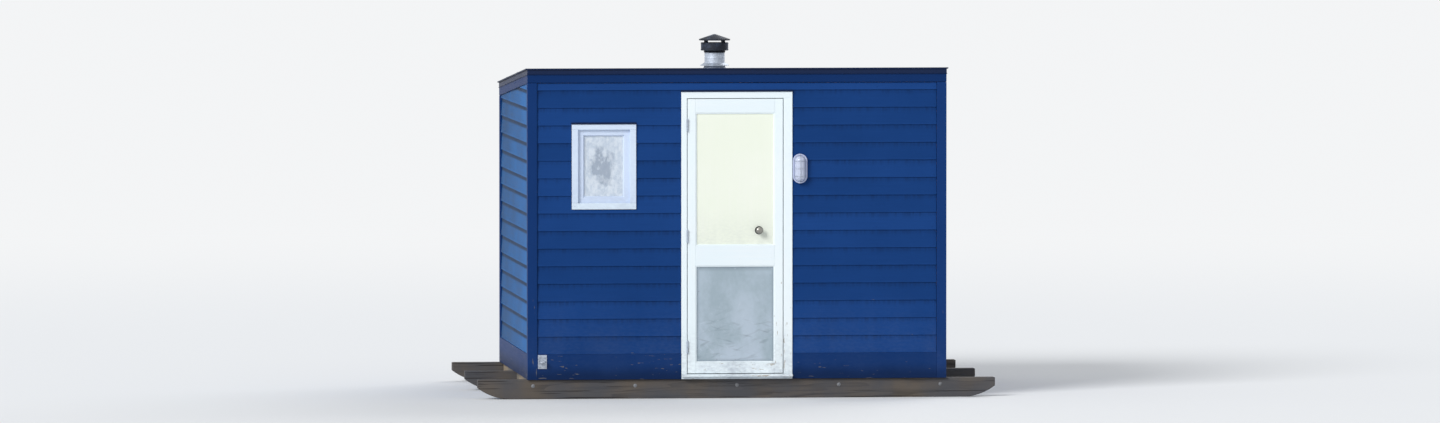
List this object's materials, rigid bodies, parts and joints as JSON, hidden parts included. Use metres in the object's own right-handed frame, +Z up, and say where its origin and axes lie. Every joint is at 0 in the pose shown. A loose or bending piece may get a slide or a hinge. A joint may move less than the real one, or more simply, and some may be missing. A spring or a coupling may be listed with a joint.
{
  "type": "ice fishing hut",
  "caption": "Box-shaped fishing hut on timber skids with lapped siding, a low mono-pitch roof, a hinged front door, a framed window and a capped stove pipe.",
  "frame": {"origin": "on the ground, under the middle of the middle skid, which is the middle of the hut's plan", "axes": "+X along the front to the right as seen from outside the door, +Y from the front to the back, +Z up"},
  "size_m": [3.76, 2.512, 2.602],
  "materials": {
    "skid_timber": "weathered, treated timber",
    "frame_timber": "planed softwood",
    "plywood": "sanded, worn plywood",
    "wall_lining": "clear-finished board lining",
    "blue_siding": "satin dark blue paint",
    "blue_trim": "satin dark blue paint",
    "roll_roofing": "mineral-faced roofing felt",
    "white_trim": "satin white paint",
    "white_door": "satin white paint",
    "cream_panel": "satin cream paint",
    "grey_panel": "dull, scuffed sheet",
    "zinc_steel": "galvanised",
    "dark_metal": "dark, worn",
    "frosted_glass": "frosted over",
    "lamp_body": "pale enamel",
    "opal_glass": "opal",
    "sooty_steel": "sooty sheet steel"
  },
  "bodies": {
    "hut": {"skid_front": "skid_timber", "skid_middle": "skid_timber", "skid_rear": "skid_timber", "floor_bearers": "frame_timber", "floor_deck": "plywood", "front_wall_left": "wall_lining", "front_wall_right": "wall_lining", "front_wall_header": "wall_lining", "left_wall": "wall_lining", "right_wall": "wall_lining", "rear_wall": "wall_lining", "front_siding": "blue_siding", "left_siding": "blue_siding", "right_siding": "blue_siding", "rear_siding": "blue_siding", "corner_boards": "blue_trim", "base_boards": "blue_trim", "roof_rafters": "frame_timber", "roof_deck": "plywood", "roof_covering": "roll_roofing", "fascia_boards": "blue_trim", "barge_boards": "blue_trim", "door_side_jambs": "white_trim", "door_head_jamb": "white_trim", "door_side_casings": "white_trim", "door_head_casing": "white_trim", "door_sill": "white_trim", "hinge_jamb_leaves": "zinc_steel", "hinge_pins": "zinc_steel", "window_casing": "white_trim", "window_sash": "white_trim", "window_glass": "frosted_glass", "lamp_base": "lamp_body", "lamp_globe": "opal_glass", "stove_pipe": "zinc_steel", "pipe_cap": "sooty_steel", "storm_collar": "zinc_steel", "roof_flashing": "zinc_steel", "tie_down_eye": "zinc_steel"},
    "door": {"hinge_door_leaves": "zinc_steel", "door_stiles": "white_door", "door_rails": "white_door", "door_upper_panel": "cream_panel", "door_kick_panel": "grey_panel", "door_knob": "dark_metal"}
  },
  "joints": [
    {"name": "door_hinge", "type": "hinge", "parent": "hut", "child": "door", "pos_m": [-0.3635, -1.229, 1.17], "axis": [0, 0, -1], "range_deg": [0, 110]}
  ]
}
